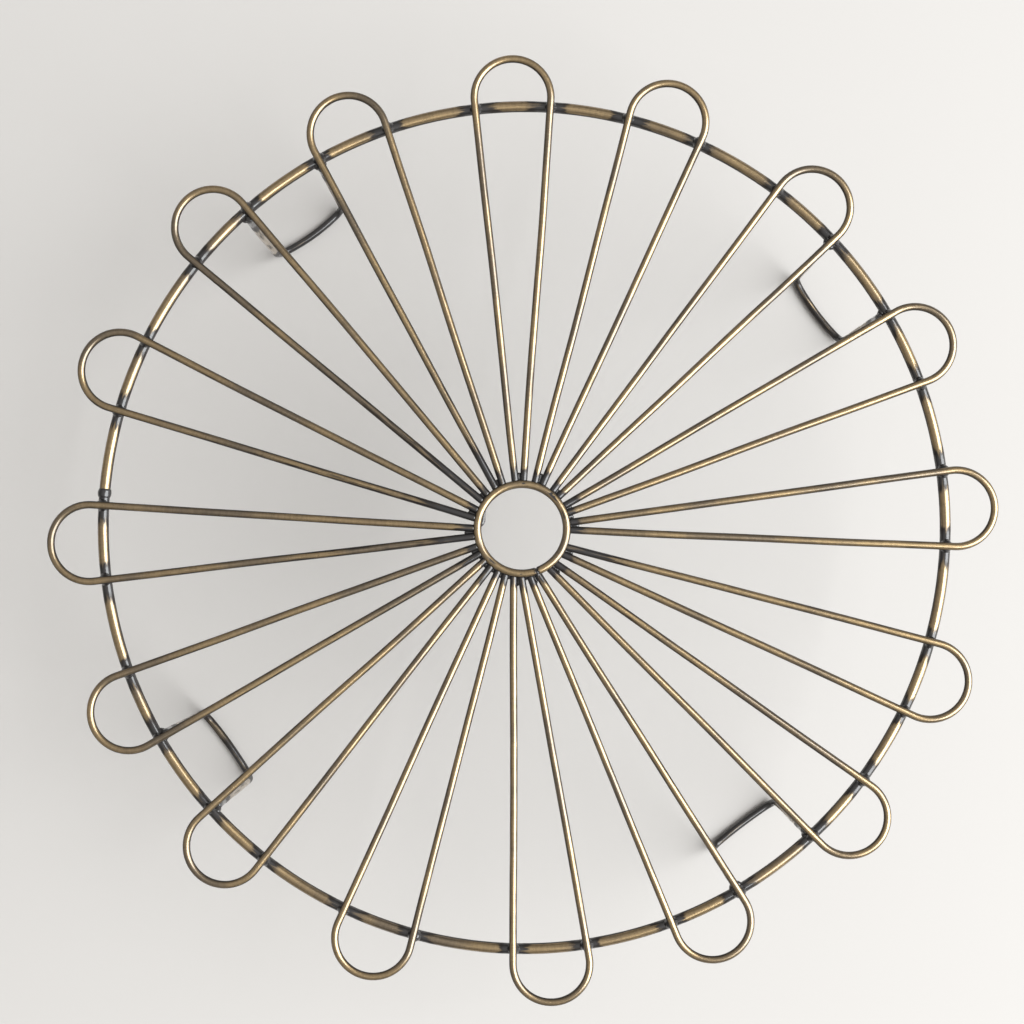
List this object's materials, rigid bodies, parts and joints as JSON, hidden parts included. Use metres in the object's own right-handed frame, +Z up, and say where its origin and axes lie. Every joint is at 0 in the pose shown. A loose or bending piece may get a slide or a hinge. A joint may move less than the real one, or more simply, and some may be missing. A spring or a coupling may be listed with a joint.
{
  "type": "raised wire flower stand",
  "caption": "Round raised stand of brazed brass-finished wire: hairpin petals from a hub ring over a thicker rim ring, on U-shaped wire legs.",
  "frame": {"origin": "on the floor, under the middle of the rim ring", "axes": "+Z up, from the feet to the petals; +X along the first petal, so each leg stands about 34 degrees round from an axis"},
  "size_m": [0.3049, 0.305, 0.076],
  "materials": {
    "antique_brass": "antique brass plating on steel wire, brown-gold on top and dark below, lightly brushed along the wire",
    "braze_metal": "blackened braze metal, smooth fillets"
  },
  "bodies": {
    "root": {"hub_ring": "antique_brass", "rim_ring": "antique_brass", "rim_weld": "braze_metal", "petal_01": "antique_brass", "petal_02": "antique_brass", "petal_03": "antique_brass", "petal_04": "antique_brass", "petal_05": "antique_brass", "petal_06": "antique_brass", "petal_07": "antique_brass", "petal_08": "antique_brass", "petal_09": "antique_brass", "petal_10": "antique_brass", "petal_11": "antique_brass", "petal_12": "antique_brass", "petal_13": "antique_brass", "petal_14": "antique_brass", "petal_15": "antique_brass", "petal_16": "antique_brass", "leg_back_right": "antique_brass", "leg_back_left": "antique_brass", "leg_front_left": "antique_brass", "leg_front_right": "antique_brass", "hub_brazing": "braze_metal", "rim_brazing": "braze_metal", "leg_brazing": "braze_metal"}
  },
  "joints": []
}
